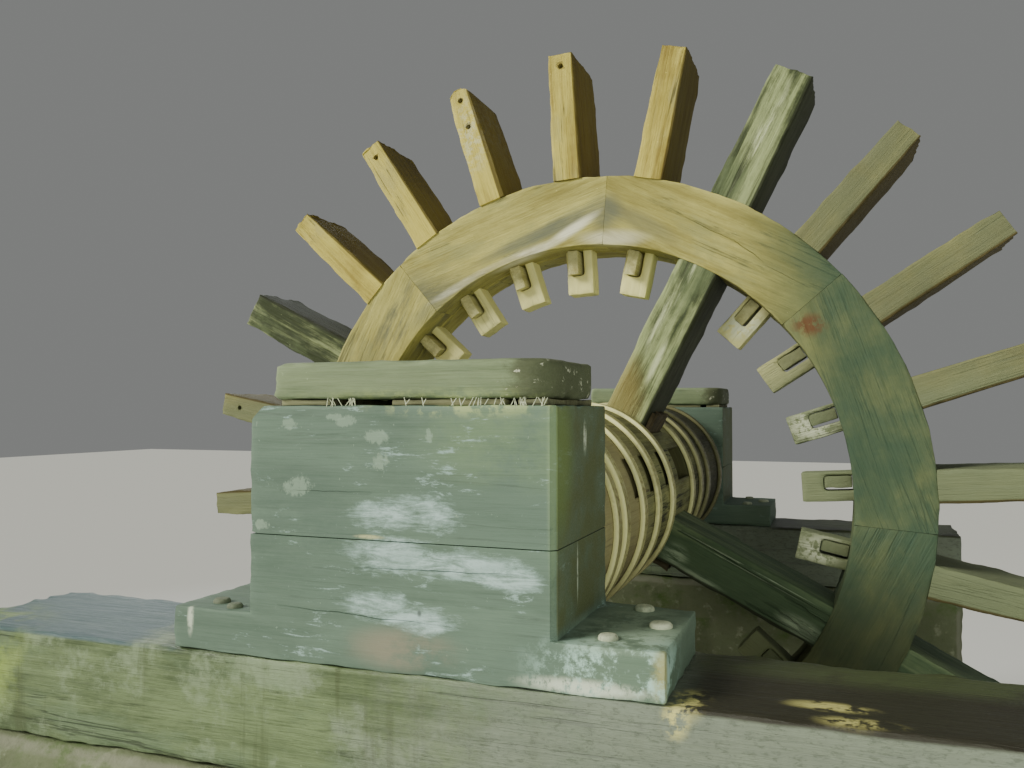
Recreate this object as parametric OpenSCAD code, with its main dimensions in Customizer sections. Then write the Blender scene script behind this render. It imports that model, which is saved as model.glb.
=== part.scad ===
// Undershot water wheel with pegged float boards on a hooped timber axle.
// The axle turns on iron gudgeons in stacked timber bearing blocks.
// Each bearing stands on a sill beam on its own masonry wall.
// The axle runs along Y, the near bearing is at -Y, and the ground is at Z 0.

/* [Rim] */
// Outer radius of the rim
rim_r = 1100; // [1000:10:1200]
// Radial width of the rim band
rim_band = 238; // [200:2:270]
// Thickness of one of the two layers of felloes
layer_t = 140; // [120:2:170]
// Felloes in each layer
felloes = 8; // [4, 8]
// Open joint between the ends of two felloes
felloe_gap = 1.5; // [1:0.5:5]

/* [Float boards] */
// Places round the rim, one in a quarter of them is an arm end
positions = 24; // [16, 24]
// Place of the first arm, counted clockwise from the top
arm_first = 2; // [0:1:3]
// Turn of the wheel at rest, clockwise from the front
rest_turn = -3.2; // [-7:0.1:7]
// Length of a float board outside the rim
float_out = 450; // [300:10:460]
// Thickness of a float board at the rim
float_root = 104; // [90:1:120]
// Thickness of a float board at its outer end
float_tip = 92; // [70:1:110]
// Width of a float board along the axle
float_w = 290; // [200:5:340]
// Thickness of the tenon that goes through the rim
tenon_t = 96; // [80:1:104]
// Width of the tenon along the axle
tenon_w = 84; // [60:2:110]
// Length of the tenon's tail inside the rim
tail_out = 156; // [110:2:180]

/* [Keys] */
// Length of the key slot, inwards from the rim
slot_len = 88; // [60:2:100]
// Distance from the middle of the tenon to the middle of its key slot
slot_side = 10; // [0:1:14]
// Width of the key slot across the tenon
slot_w = 48; // [36:1:56]
// Thickness of a key
key_t = 38; // [28:1:44]
// Length of a key that stands in front of its tenon
key_proud = 34; // [10:1:50]
// Distance that the keys on the right were driven further
key_drive = 40; // [10:1:50]
// Fall of the key's lower edge over its length
key_fall = 6; // [2:1:9]

/* [Arms] */
// Thickness of an arm, seen from the front
arm_t = 146; // [130:2:170]
// Thickness of an arm at its outer end
arm_tip = 134; // [110:2:150]
// Width of an arm along the axle
arm_w = 270; // [200:5:276]
// Width of the arm's neck, inside the rim
neck_w = 150; // [100:2:180]
// Depth that the arm is let into the rim's inner edge
housing = 20; // [10:1:40]
// Thick end of the wedges beside the arms
wedge_t = 26; // [20:1:36]
// Width of a wedge along the axle
wedge_w = 200; // [120:5:240]
// Length of a wedge
wedge_len = 175; // [140:5:185]
// Length of a wedge that stands out of the axle
wedge_out = 52; // [20:2:80]

/* [Axle] */
// Radius of the axle
axle_r = 305; // [280:1:330]
// Distance from the middle of the wheel to each end of the axle
axle_half = 1045; // [1040:5:1100]
// Bevel round each end of the axle
axle_bevel = 14; // [4:1:30]
// Thickness of the iron hoops
hoop_t = 14; // [8:1:20]
// Width of the iron hoops
hoop_w = 46; // [30:1:56]
// Distance from the axle's far end to the middle of its end hoop
end_hoop = 49; // [35:1:60]
// Distance from the axle's near end to the middle of its end hoop
near_end_hoop = 103; // [60:1:110]
// Distance from the near end hoop to the next one
pair_step = 90; // [60:1:110]
// Distance from the front of the arms to the first hoop
arm_hoop = 52; // [40:1:100]
// Distance between the first and second hoops in front of the arms
near_step_1 = 240; // [200:2:260]
// Distance between the second and third hoops in front of the arms
near_step_2 = 210; // [160:2:230]
// Gap between the arms and the first hoop behind them
far_hoop_gap = 65; // [40:1:90]
// Distance between the first and second hoops behind the arms
far_step_1 = 210; // [180:2:240]
// Distance between the second and third hoops behind the arms
far_step_2 = 200; // [140:2:220]
// Radius of the gudgeon pins
pin_r = 60; // [45:1:75]
// Length of a gudgeon inside the axle
pin_in = 230; // [150:5:300]
// Length of a gudgeon inside its bearing
pin_out = 260; // [200:5:290]
// Tangential width of the empty mortises
mortise_t = 112; // [80:2:130]
// Depth of the empty mortises
mortise_deep = 140; // [80:5:160]
// Angle that the empty mortises lie above the middle of two arms
mortise_lead = 2; // [0:0.5:6]
// Length of the long empty mortise, in front of the middle
mortise_fore = 16; // [0:2:60]
// Length of the long empty mortise, behind the middle
mortise_aft = 210; // [160:2:220]
// Length of a short empty mortise that a hoop leaves open
mortise_open = 41; // [30:1:60]
// Length of a short empty mortise under its hoop
mortise_under = 40; // [20:1:46]

/* [Bearings] */
// Width of the bearing blocks
block_w = 698; // [640:2:760]
// Distance that the blocks stand to the left of the axle's middle
block_shift = 32; // [0:1:60]
// Depth of the bearing blocks along the axle
block_d = 380; // [350:5:420]
// Height of the block joint above the axle's centre
seam_up = 25; // [0:1:40]
// Height of the upper block
upper_h = 277; // [240:1:320]
// Height of the lower block
lower_h = 171; // [150:1:200]
// Bevel on the upper outer edge of the block
block_bevel = 32; // [10:1:50]
// Bevel on the upright front corner at the block's right
corner_bevel = 12; // [5:1:40]
// Running clearance round a gudgeon
run_gap = 0.3; // [0.1:0.1:1]
// Clearance between the axle's end and its block
end_gap = 35; // [10:1:60]
// Clearance past the end of the gudgeon pin
toe_gap = 6; // [5:1:15]

/* [Cap] */
// Width of the cap
cap_w = 631; // [560:1:660]
// Distance that the cap stands to the left of the axle's middle
cap_shift = 7; // [0:1:40]
// Thickness of the cap
cap_h = 80; // [60:1:110]
// Depth of the cap
cap_d = 350; // [300:5:370]
// Radius of the worn corners of the cap
cap_round = 70; // [30:1:100]
// Thickness of the packing strips under the cap
strip_h = 13; // [6:1:25]
// Width of the left packing strip
strip_left = 120; // [80:2:160]
// Width of the middle packing strip
strip_mid = 250; // [180:2:280]
// Width of the right packing strip
strip_right = 60; // [40:2:90]
// Distance that the strips stay back from the cap's edges
strip_back = 14; // [5:1:30]

/* [Foot and sill] */
// Distance that the foot reaches to the left of the axle
foot_left = 584; // [540:2:620]
// Distance that the foot reaches to the right of the axle
foot_right = 524; // [480:2:560]
// Height of the foot
foot_h = 94; // [80:1:120]
// Depth of the foot
foot_d = 362; // [320:2:400]
// Length of the sill beam
sill_len = 2600; // [2200:20:3000]
// Height of the sill beam
sill_h = 252; // [200:2:300]
// Depth of the sill beam
sill_d = 380; // [340:5:420]

/* [Walls] */
// Gap between the lowest float board and the ground
ground_gap = 70; // [50:5:150]
// Ledge of the wall in front of and behind the sill
ledge = 30; // [10:2:80]

/* [Fits] */
// Clearance between fitted timbers
fit = 0.3; // [0.1:0.1:0.6]

/* [Hidden] */
rim_in = rim_r - rim_band;
tip_r = rim_r + float_out;
tail_r = rim_in - tail_out;
pitch = 360 / positions;
axis_h = tip_r + ground_gap;
shoulder_r = rim_in + housing;
face_y = axle_half + end_gap;
front_y = face_y + block_d;
foot_top = axis_h + seam_up - lower_h;
sill_top = foot_top - foot_h;
wall_h = sill_top - sill_h;
seam_z = axis_h + seam_up;
block_left = -block_w / 2 - block_shift;
block_right = block_w / 2 - block_shift;
cap_left = -cap_w / 2 - cap_shift;
cap_right = cap_w / 2 - cap_shift;
block_top = seam_z + upper_h;
near_1 = -arm_w / 2 - arm_hoop;
near_2 = near_1 - near_step_1;
near_3 = near_2 - near_step_2;
near_hoop_y = [near_1, near_2, near_3, near_end_hoop + pair_step - axle_half, near_end_hoop - axle_half];
far_1 = arm_w / 2 + far_hoop_gap + hoop_w / 2;
far_2 = far_1 + far_step_1;
far_hoop_y = [far_1, far_2, far_2 + far_step_2, axle_half - end_hoop];
empty_y = concat([[-mortise_fore, mortise_aft]],
  [for (y = [near_1, near_2, near_3]) [y - hoop_w / 2 - mortise_open, y - hoop_w / 2 + mortise_under]]);
empty_place = arm_first + positions / 8 - mortise_lead / pitch;
strips = [[cap_left + strip_back, strip_left], [-strip_mid / 6, strip_mid],
  [cap_right - strip_back - strip_right, strip_right]];
big = 4000;
$fn = 96;

// A box centred on the axle line in X and Y, from one radius to another in Z
module bar(t, w, z0, z1) {
  translate([-t / 2, -w / 2, z0]) cube([t, w, z1 - z0]);
}

// A cylinder along Y between two places
module rod_y(r, y0, y1) {
  translate([0, y0, 0]) rotate([-90, 0, 0]) cylinder(r = r, h = y1 - y0);
}

// Turns a radial piece to its place round the axle
module at_place(i) {
  translate([0, 0, axis_h]) rotate([0, rest_turn + i * pitch, 0]) children();
}

// Mirrors a near piece to the far bearing
module at_side(side) {
  if (side == "far") mirror([0, 1, 0]) children();
  else children();
}

// One block of the bearing's outline, pulled back from the front face
module slab(outline, depth) {
  translate([0, depth - front_y, 0]) rotate([90, 0, 0]) linear_extrude(depth) polygon(outline);
}

// The masonry wall under one sill
module wall(side) {
  color("darkolivegreen") at_side(side)
    translate([-sill_len / 2, -front_y - ledge, 0]) cube([sill_len, sill_d + 2 * ledge, wall_h]);
}

// The beam that carries one bearing
module sill(side) {
  color("darkseagreen") at_side(side)
    translate([-sill_len / 2, -front_y, wall_h]) cube([sill_len, sill_d, sill_h]);
}

// The wide timber under the bearing blocks
module foot(side) {
  color("cadetblue") at_side(side)
    translate([-foot_left, -front_y, sill_top]) cube([foot_left + foot_right, foot_d, foot_h]);
}

// The bevel that runs down the right front corner of both blocks
module corner_cut() {
  translate([block_right, -front_y, foot_top - 1]) rotate(45)
    translate([-corner_bevel / sqrt(2), -corner_bevel, 0])
      cube([sqrt(2) * corner_bevel, 2 * corner_bevel, block_top - foot_top + 2]);
}

// The seat of the gudgeon, open at the back of the block and closed in front
module seat(gap) {
  translate([0, 0, axis_h]) rod_y(pin_r + gap, -face_y - pin_out - toe_gap, -face_y + 1);
  translate([-pin_r - gap, -face_y - pin_out - toe_gap, axis_h])
    cube([2 * (pin_r + gap), pin_out + toe_gap + 1, seam_up + 1]);
}

// The block under the gudgeon, with a round-bottomed seat that opens upwards
module lower_block(side) {
  color("slategray") at_side(side) difference() {
    slab([[block_left, foot_top], [block_right, foot_top], [block_right, seam_z], [block_left, seam_z]], block_d);
    corner_cut();
    seat(run_gap);
  }
}

// The block over the gudgeon, hollowed to clear the pin
module upper_block(side) {
  color("slategray") at_side(side) difference() {
    slab([[block_left, seam_z], [block_right, seam_z], [block_right, block_top],
      [block_left + block_bevel, block_top], [block_left, block_top - block_bevel]], block_d);
    corner_cut();
    translate([0, 0, axis_h]) rod_y(pin_r + 2, -face_y - pin_out - toe_gap, -face_y + 1);
  }
}

// The strips that level the cap
module packing(side) {
  color("tan") at_side(side) for (s = strips)
    translate([s[0], strip_back - front_y, block_top]) cube([s[1], cap_d - 2 * strip_back, strip_h]);
}

// The outline of the cap from above, worn round at its right end
module cap_outline() {
  difference() {
    translate([cap_left, -front_y]) square([cap_w, cap_d]);
    for (s = [0, 1])
      translate([cap_right - cap_round, -front_y + (s == 0 ? 0 : cap_d - cap_round)])
        square([cap_round + 1, cap_round]);
  }
  for (s = [0, 1])
    translate([cap_right - cap_round, -front_y + (s == 0 ? cap_round : cap_d - cap_round)]) circle(r = cap_round);
}

// The beam that closes the bearing
module cap(side) {
  color("cadetblue") at_side(side)
    translate([0, 0, block_top + strip_h]) linear_extrude(cap_h) cap_outline();
}

// The wedge beside an arm, in its local place on the arm
module wedge(gap) {
  x0 = arm_t / 2 + fit;
  z1 = axle_r + wedge_out;
  translate([0, wedge_w / 2 + gap, 0]) rotate([90, 0, 0]) linear_extrude(wedge_w + 2 * gap)
    polygon([[x0, z1], [x0, z1 - wedge_len - gap], [x0 + wedge_t / 2 + gap, z1 - wedge_len - gap],
      [x0 + wedge_t + gap, z1 + (gap > 0 ? 1 : 0)]]);
}

// The axle, cut for the arms, their wedges, the gudgeons and the old mortises
module axle() {
  color("peru") difference() {
    translate([0, 0, axis_h]) rotate([90, 0, 0]) rotate_extrude(angle = 360)
      polygon([[0, -axle_half], [axle_r - axle_bevel, -axle_half], [axle_r, axle_bevel - axle_half],
        [axle_r, axle_half - axle_bevel], [axle_r - axle_bevel, axle_half], [0, axle_half]]);
    for (k = [0, 1]) at_place(arm_first + k * positions / 4) bar(arm_t + 2 * fit, arm_w + 2 * fit, -big / 2, big / 2);
    for (k = [0 : 3]) at_place(arm_first + k * positions / 4) wedge(fit);
    for (m = empty_y) at_place(empty_place)
      translate([-mortise_t / 2, m[0], axle_r - mortise_deep]) cube([mortise_t, m[1] - m[0], mortise_deep + 50]);
    for (s = [0, 1]) mirror([0, s, 0]) translate([0, 0, axis_h]) rod_y(pin_r + fit, -axle_half - 1, pin_in - axle_half);
  }
}

// The iron pin in one end of the axle
module gudgeon(side) {
  color("dimgray") at_side(side) translate([0, 0, axis_h]) rod_y(pin_r, -face_y - pin_out, pin_in - axle_half);
}

// A shrunk-on hoop with eased edges
module hoop(y) {
  r0 = axle_r + fit;
  r1 = axle_r + hoop_t;
  e = hoop_t / 3;
  translate([0, y, axis_h]) rotate([-90, 0, 0]) rotate_extrude(angle = 360)
    polygon([[r0, -hoop_w / 2], [r1 - e, -hoop_w / 2], [r1, e - hoop_w / 2],
      [r1, hoop_w / 2 - e], [r1 - e, hoop_w / 2], [r0, hoop_w / 2]]);
}

// The hoops on one half of the axle
module hoops(places) {
  color("darkkhaki") for (y = places) hoop(y);
}

// One beam through the axle, an arm and a float board at each end
module arm_beam() {
  difference() {
    union() {
      bar(arm_t, arm_w, -rim_r - 1, rim_r + 1);
      for (s = [0, 180]) rotate([0, s, 0]) translate([0, arm_w / 2, 0]) rotate([90, 0, 0]) linear_extrude(arm_w)
        polygon([[-arm_t / 2, rim_r], [arm_t / 2, rim_r], [arm_tip / 2, tip_r], [-arm_tip / 2, tip_r]]);
    }
    for (s = [0, 180]) rotate([0, s, 0]) for (f = [0, 1]) mirror([0, f, 0]) intersection() {
      translate([-arm_t, neck_w / 2, shoulder_r]) cube([2 * arm_t, arm_w, rim_r + fit - shoulder_r]);
      rod_y(rim_r + fit, 0, arm_w);
    }
  }
}

// The two beams are halved over each other inside the axle
module crossed_arm(k) {
  color("yellowgreen") at_place(arm_first + k * positions / 4) difference() {
    arm_beam();
    mirror([0, k, 0]) translate([-arm_t, -fit / 2, -arm_t / 2 - fit]) cube([2 * arm_t, arm_w, arm_t + 2 * fit]);
  }
}

// The wedges that tighten the four arms in the axle
module arm_wedges() {
  color("saddlebrown") for (k = [0 : 3]) at_place(arm_first + k * positions / 4) wedge(0);
}

// True where a place holds an arm and not a float board
function is_arm(i) = (i - arm_first + 2 * positions) % (positions / 4) == 0;

// The plan of one felloe, a piece of the rim between two butt joints
module felloe_plan(joint) {
  half = 180 / felloes;
  reach = 1.2 * rim_r / cos(half);
  rotate(90 - rest_turn - joint * pitch - half) intersection() {
    difference() {
      circle(r = rim_r, $fn = 180);
      circle(r = rim_in, $fn = 180);
    }
    intersection() {
      rotate(half) translate([0, -reach - felloe_gap / 2]) square(reach);
      rotate(-half) translate([0, felloe_gap / 2]) square(reach);
    }
  }
}

// Every other felloe of one layer, housed over the tenons and the arm necks
module felloe_set(layer, first) {
  span = positions / felloes;
  shift = layer == "front" ? 0.5 : 1.5;
  color("burlywood") difference() {
    translate([0, layer == "front" ? 0 : layer_t, axis_h]) rotate([90, 0, 0]) linear_extrude(layer_t)
      for (j = [first : 2 : felloes - 1]) felloe_plan(shift + j * span);
    for (i = [0 : positions - 1]) at_place(i) {
      if (is_arm(i)) {
        bar(arm_t + 2 * fit, neck_w + 2 * fit, rim_in - 50, rim_r + 50);
        bar(arm_t + 2 * fit, 2 * layer_t + 2, rim_in - 50, shoulder_r + fit);
      } else bar(tenon_t + 2 * fit, tenon_w + 2 * fit, rim_in - 50, rim_r + 50);
    }
  }
}

// A float board with its shouldered tenon and key slot
module float_board() {
  slot_x = -slot_w / 2 - slot_side;
  difference() {
    union() {
      translate([0, float_w / 2, 0]) rotate([90, 0, 0]) linear_extrude(float_w)
        polygon([[-float_root / 2, rim_r - 20], [float_root / 2, rim_r - 20], [float_tip / 2, tip_r], [-float_tip / 2, tip_r]]);
      bar(tenon_t, tenon_w, tail_r, rim_r + 10);
    }
    difference() {
      rod_y(rim_r + fit, -float_w, float_w);
      bar(tenon_t, tenon_w, tail_r, rim_r + 10);
    }
    translate([slot_x, -tenon_w, rim_in - slot_len]) cube([slot_w, 2 * tenon_w, slot_len + 10]);
  }
}

// The tapered key that draws a float board tight against the rim
module float_key(i) {
  slot_x = -slot_w / 2 - slot_side;
  top = sqrt(rim_in * rim_in - (slot_w / 2 + slot_side) * (slot_w / 2 + slot_side)) - fit;
  low = rim_in - slot_len + fit;
  home = i > arm_first && i < positions / 2 ? key_drive : 0;
  y0 = -tenon_w / 2 - key_proud + home;
  y1 = tenon_w / 2 + 4 + home / 2;
  translate([slot_x + fit, 0, 0]) rotate([90, 0, 90]) linear_extrude(key_t)
    polygon([[y0, top], [y0, low], [y1, low + key_fall], [y1, top]]);
}

// The float boards of one quarter, between two arms
module floats(quarter) {
  color("goldenrod") for (j = [1 : positions / 4 - 1]) at_place(arm_first + quarter * positions / 4 + j) float_board();
}

// The keys of the same quarter
module keys(quarter) {
  color("khaki") for (j = [1 : positions / 4 - 1])
    at_place(arm_first + quarter * positions / 4 + j) float_key(arm_first + quarter * positions / 4 + j);
}

wall("near");  // near_wall
sill("near");  // near_sill
foot("near");  // near_foot
lower_block("near");  // near_lower_block
upper_block("near");  // near_upper_block
packing("near");  // near_packing
cap("near");  // near_cap
wall("far");  // far_wall
sill("far");  // far_sill
foot("far");  // far_foot
lower_block("far");  // far_lower_block
upper_block("far");  // far_upper_block
packing("far");  // far_packing
cap("far");  // far_cap
axle();
gudgeon("near");  // near_gudgeon
gudgeon("far");  // far_gudgeon
hoops(near_hoop_y);  // near_hoops
hoops(far_hoop_y);  // far_hoops
crossed_arm(0);  // rising_arm
crossed_arm(1);  // falling_arm
arm_wedges();
felloe_set("front", 0);  // front_felloes_a
felloe_set("front", 1);  // front_felloes_b
felloe_set("back", 0);  // back_felloes_a
felloe_set("back", 1);  // back_felloes_b
floats(0);  // floats_right
floats(1);  // floats_bottom
floats(2);  // floats_left
floats(3);  // floats_top
keys(0);  // keys_right
keys(1);  // keys_bottom
keys(2);  // keys_left
keys(3);  // keys_top
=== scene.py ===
import math
import random

import bpy
import numpy as np
from mathutils import Matrix, Vector, kdtree


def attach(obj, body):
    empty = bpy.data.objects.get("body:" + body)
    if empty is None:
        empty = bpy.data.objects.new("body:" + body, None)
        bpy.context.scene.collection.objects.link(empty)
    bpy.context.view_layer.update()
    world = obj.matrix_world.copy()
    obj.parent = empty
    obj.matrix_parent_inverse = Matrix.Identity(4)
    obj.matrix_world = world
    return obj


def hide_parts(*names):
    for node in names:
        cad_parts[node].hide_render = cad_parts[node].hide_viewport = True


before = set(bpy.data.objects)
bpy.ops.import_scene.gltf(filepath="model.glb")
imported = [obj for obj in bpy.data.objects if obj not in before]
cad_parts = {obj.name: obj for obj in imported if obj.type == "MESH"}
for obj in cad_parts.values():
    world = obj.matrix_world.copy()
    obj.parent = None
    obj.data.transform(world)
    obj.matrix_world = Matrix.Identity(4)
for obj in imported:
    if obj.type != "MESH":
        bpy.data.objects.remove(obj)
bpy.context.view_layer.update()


# Camera, floor and light
# The viewpoint stands in front of the near bearing, a little to its right and as high as
# its cap, and looks back to the left across the wheel. A wide soft lamp stands high on the
# left, so that the right-hand sides of the boards fall into shade.
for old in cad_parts.values():
    old.select_set(False)
bpy.ops.object.camera_add(location=(0.823, -3.044, 1.915))
camera = bpy.context.object
camera.rotation_euler = (math.radians(91.63), 0, math.radians(20.57))
camera.data.sensor_width = 36
camera.data.lens = 30.69
camera.data.clip_end = 200
bpy.context.scene.camera = camera


def lamp(kind, name, place, aim, size, power, tint):
    bpy.ops.object.light_add(type=kind, location=place)
    light = bpy.context.object
    light.name = name
    light.rotation_euler = (Vector(aim) - Vector(place)).to_track_quat("-Z", "Y").to_euler()
    light.data.energy = power
    light.data.color = tint
    if kind == "SUN":
        light.data.angle = size
    else:
        light.data.size = size


lamp("SUN", "key_lamp", (-4.3, -4.3, 5.0), (0.1, -0.5, 1.7), math.radians(22), 4.3, (1.0, 0.985, 0.87))
lamp("AREA", "fill_lamp", (2.6, -4.6, 2.0), (0.1, -0.6, 1.6), 2.4, 85, (0.95, 1.0, 0.86))
lamp("AREA", "back_lamp", (-4.2, 3.4, 4.4), (-0.4, 0, 1.9), 3.0, 120, (0.95, 1.0, 0.97))

sky = bpy.data.worlds.new("studio")
sky.use_nodes = True
backdrop = sky.node_tree.nodes["Background"]
backdrop.inputs["Color"].default_value = (0.86, 0.88, 0.86, 1)
backdrop.inputs["Strength"].default_value = 0.24
bpy.context.scene.world = sky

bpy.ops.mesh.primitive_plane_add(size=60, location=(0, 0, -0.002))
floor = bpy.context.object
floor.name = "floor"
floor_finish = bpy.data.materials.new("pale floor")
floor_finish.use_nodes = True
floor_shader = floor_finish.node_tree.nodes["Principled BSDF"]
floor_shader.inputs["Base Color"].default_value = (0.62, 0.62, 0.60, 1)
floor_shader.inputs["Roughness"].default_value = 0.9
floor.data.materials.append(floor_finish)


# Masonry walls
# Each sill lies on a wall of squared stones in lime mortar, laid in six courses up from the
# ground. A block is cut into courses and stones, and each stone's face is then pushed out
# within its own outline, so that the joints between the stones lie deeper.
sides = ((-1, "near"), (1, "far"))
bearing_y = 1.27
wall_length = 2.6
wall_depth = 0.44
wall_height = 1.128
course_tops = (0.205, 0.395, 0.59, 0.775, 0.955)
top_joints = (-0.93, -0.51, -0.12, 0.33, 0.74, 1.06)
joint_deep = 0.018
joint_half = 0.013
stone_voxel = 0.0158


def pick(piece):
    bpy.ops.object.select_all(action="DESELECT")
    piece.select_set(True)
    bpy.context.view_layer.objects.active = piece


def settled(name):
    # Names the piece that was just added and applies its place, turn and size to its mesh.
    piece = bpy.context.object
    piece.name = name
    bpy.ops.object.transform_apply(location=True, rotation=True, scale=True)
    return piece


def block(name, low, high):
    size = [b - a for a, b in zip(low, high)]
    middle = [(a + b) / 2 for a, b in zip(low, high)]
    bpy.ops.object.select_all(action="DESELECT")
    bpy.ops.mesh.primitive_cube_add(size=1, location=middle, scale=size)
    return settled(name)


def leave_edit():
    if bpy.context.mode != "OBJECT":
        bpy.ops.object.mode_set(mode="OBJECT")


def select_faces(piece, wanted):
    # Selects the faces whose middle and normal pass the test, and opens edit mode.
    leave_edit()
    pick(piece)
    for part in (*piece.data.vertices, *piece.data.edges):
        part.select = False
    for face in piece.data.polygons:
        face.select = bool(wanted(face.center, face.normal))
    bpy.ops.object.mode_set(mode="EDIT")
    bpy.ops.mesh.select_mode(type="FACE")


def bisect(piece, place, normal, wanted=lambda place, normal: True, **how):
    # Cuts the wanted faces of a piece along a plane.
    select_faces(piece, wanted)
    bpy.ops.mesh.bisect(plane_co=place, plane_no=normal, **how)


def apply_modifier(piece, modifier):
    pick(piece)
    bpy.ops.object.modifier_apply(modifier=modifier.name)


def skin(piece, voxel):
    # Gives a shape an even skin of small squares, fine enough to be worn down.
    remesh = piece.modifiers.new("skin", "REMESH")
    remesh.mode = "VOXEL"
    remesh.voxel_size = voxel
    remesh.use_smooth_shade = True
    apply_modifier(piece, remesh)


def wear(piece, size, depth, grain=None, stretch=1.0, group="", middle=0.5, seed=0, bite=1.0):
    # Moves the surface in and out by a noise that can be drawn out along the grain. A bite
    # over one leaves most of the surface alone and cuts deep in a few places.
    noise = bpy.data.textures.new("wear noise", type="CLOUDS")
    noise.noise_scale = size
    noise.noise_depth = 3
    if bite > 1:
        noise.contrast = bite
        noise.intensity = 1.25
    bpy.ops.object.empty_add()
    guide = bpy.context.object
    turn = grain if grain is not None else Matrix.Identity(4)
    shift = Matrix.Translation((seed * 1.37 % 11, seed * 2.71 % 7, seed * 0.73 % 5))
    guide.matrix_world = turn @ shift @ Matrix.Diagonal((stretch, 1, 1, 1))
    press = piece.modifiers.new("wear", "DISPLACE")
    press.texture = noise
    press.texture_coords = "OBJECT"
    press.texture_coords_object = guide
    press.strength = depth
    press.mid_level = middle
    press.vertex_group = group
    apply_modifier(piece, press)
    bpy.data.objects.remove(guide)
    bpy.data.textures.remove(noise)


def paint(piece, name, values, kind="FLOAT"):
    # Keeps one value, or one vector, for each point of the mesh, for the finish to read.
    layer = piece.data.attributes.new(name, kind, "POINT")
    field = "value" if kind == "FLOAT" else "vector"
    layer.data.foreach_set(field, np.asarray(values, dtype=np.float32).ravel())


def points(piece):
    place = np.zeros(len(piece.data.vertices) * 3, dtype=np.float32)
    piece.data.vertices.foreach_get("co", place)
    return place.reshape(-1, 3)


class Finish:
    # A finish is built up in coats, as on the real thing: a body colour, stains over it,
    # and a relief that catches the light.
    def __init__(self, name, gloss=0.35):
        self.material = bpy.data.materials.new(name)
        self.material.use_nodes = True
        self.tree = self.material.node_tree
        self.shader = self.tree.nodes["Principled BSDF"]
        self.shader.inputs["Specular IOR Level"].default_value = gloss

    def node(self, kind, **values):
        # Adds a node; what isn't the name of one of its inputs is one of its settings.
        made = self.tree.nodes.new(kind)
        for key, value in values.items():
            if key in made.inputs:
                self.put(made.inputs[key], value)
            else:
                setattr(made, key, value)
        return made

    def put(self, socket, value):
        if isinstance(value, bpy.types.NodeSocket):
            self.tree.links.new(value, socket)
        elif isinstance(value, tuple) and len(value) == 3 and socket.type == "RGBA":
            socket.default_value = value + (1,)
        else:
            socket.default_value = value

    def place(self):
        return self.node("ShaderNodeTexCoord").outputs["Object"]

    def at(self, axis):
        # The place along one axis of the frame.
        return self.node("ShaderNodeSeparateXYZ", Vector=self.place()).outputs[axis]

    def own(self, name, field="Fac"):
        return self.node("ShaderNodeAttribute", attribute_name=name).outputs[field]

    def noise(self, vector, scale, detail=5, rough=0.6, twist=0.0, shift=(0, 0, 0)):
        if not isinstance(scale, tuple):
            scale = (scale, scale, scale)
        mapping = self.node("ShaderNodeMapping", Vector=vector, Scale=scale, Location=shift)
        made = self.node(
            "ShaderNodeTexNoise", Vector=mapping.outputs["Vector"],
            Scale=1, Detail=detail, Roughness=rough, Distortion=twist,
        )
        return made.outputs["Fac"]

    def span(self, value, low, high, out_low=0.0, out_high=1.0):
        # Turns the range from low to high into another range, softly at both ends.
        made = self.node("ShaderNodeMapRange", Value=value, interpolation_type="SMOOTHSTEP")
        ends = {"From Min": low, "From Max": high, "To Min": out_low, "To Max": out_high}
        for end, there in ends.items():
            made.inputs[end].default_value = there
        return made.outputs["Result"]

    def maths(self, operation, a, b=0.0, c=0.0):
        made = self.node("ShaderNodeMath", operation=operation)
        self.put(made.inputs[0], a)
        self.put(made.inputs[1], b)
        self.put(made.inputs[2], c)
        return made.outputs[0]

    def times(self, first, *others):
        for other in others:
            first = self.maths("MULTIPLY", first, other)
        return first

    def share(self, value, part, rest):
        # Adds a part of one value to another.
        return self.maths("MULTIPLY_ADD", value, part, rest)

    def mix(self, amount, a, b):
        made = self.node("ShaderNodeMix", data_type="RGBA")
        self.put(made.inputs[0], amount)
        self.put(made.inputs[6], a)
        self.put(made.inputs[7], b)
        return made.outputs[2]

    def coat(self, colour, *amounts):
        # Lays a colour over the last one, as thick as the product of the amounts.
        self.colour = self.mix(self.times(*amounts), self.colour, colour)

    def near(self, centre, reach, turn=0.0):
        # One at a place on the piece and nothing past its reach, as an egg-shaped spot.
        offset = self.node("ShaderNodeVectorMath", operation="SUBTRACT")
        self.put(offset.inputs[0], self.place())
        offset.inputs[1].default_value = centre
        if turn:
            offset = self.node("ShaderNodeVectorRotate", rotation_type="Y_AXIS", Vector=offset.outputs[0])
            offset.inputs["Angle"].default_value = -turn
        ratio = self.node("ShaderNodeVectorMath", operation="DIVIDE")
        self.put(ratio.inputs[0], offset.outputs[0])
        ratio.inputs[1].default_value = reach
        length = self.node("ShaderNodeVectorMath", operation="LENGTH")
        self.put(length.inputs[0], ratio.outputs[0])
        return self.span(length.outputs["Value"], 1.0, 0.25)

    def done(self, relief, distance):
        self.put(self.shader.inputs["Base Color"], self.colour)
        self.put(self.shader.inputs["Roughness"], self.rough)
        bump = self.node("ShaderNodeBump", Height=self.height, Strength=relief, Distance=distance)
        self.put(self.shader.inputs["Normal"], bump.outputs["Normal"])
        return self.material


def finish_with(piece, material, body):
    piece.data.materials.clear()
    piece.data.materials.append(material)
    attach(piece, body)


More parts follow.
